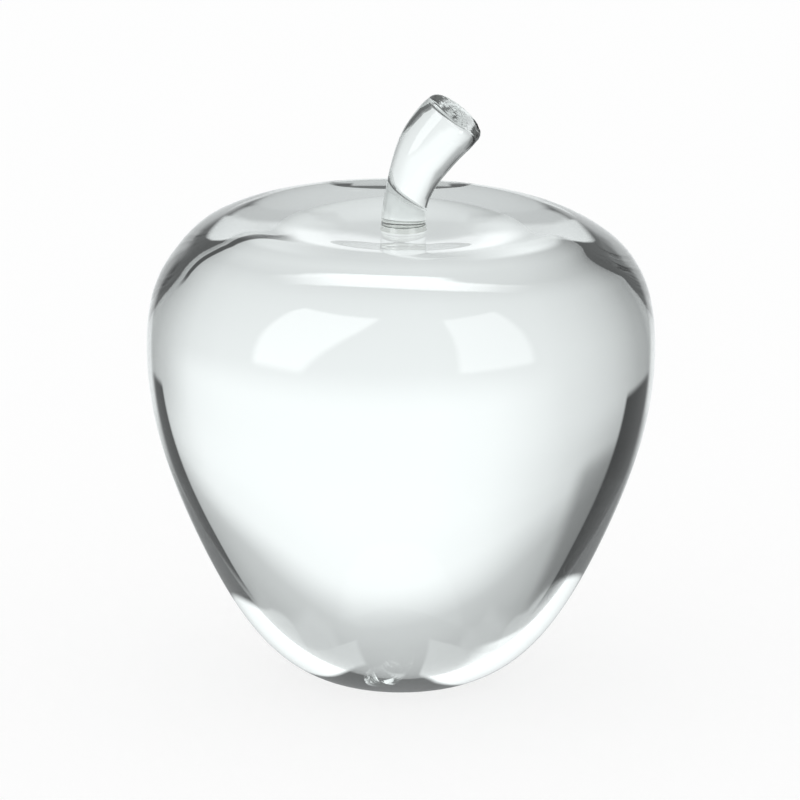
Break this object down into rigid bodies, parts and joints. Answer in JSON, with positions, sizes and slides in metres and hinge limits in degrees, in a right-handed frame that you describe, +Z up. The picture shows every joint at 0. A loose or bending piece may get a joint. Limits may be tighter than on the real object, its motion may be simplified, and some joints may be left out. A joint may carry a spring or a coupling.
{
  "type": "glass apple paperweight",
  "caption": "Solid clear glass apple with a shallow well in its crown, a bent glass stem with a sheared and fire-polished end, and a flat polished foot.",
  "frame": {"origin": "centre of the flat polished foot, on the surface the apple stands on", "axes": "+Z up along the body's axis of revolution, +X the way the stem bends, -Y the side the picture shows"},
  "size_m": [0.085, 0.085, 0.0995],
  "materials": {
    "crystal": "polished",
    "clear_cement": "glossy"
  },
  "bodies": {
    "root": {"apple_body": "crystal", "bond_layer": "clear_cement", "stem": "crystal"}
  },
  "joints": []
}
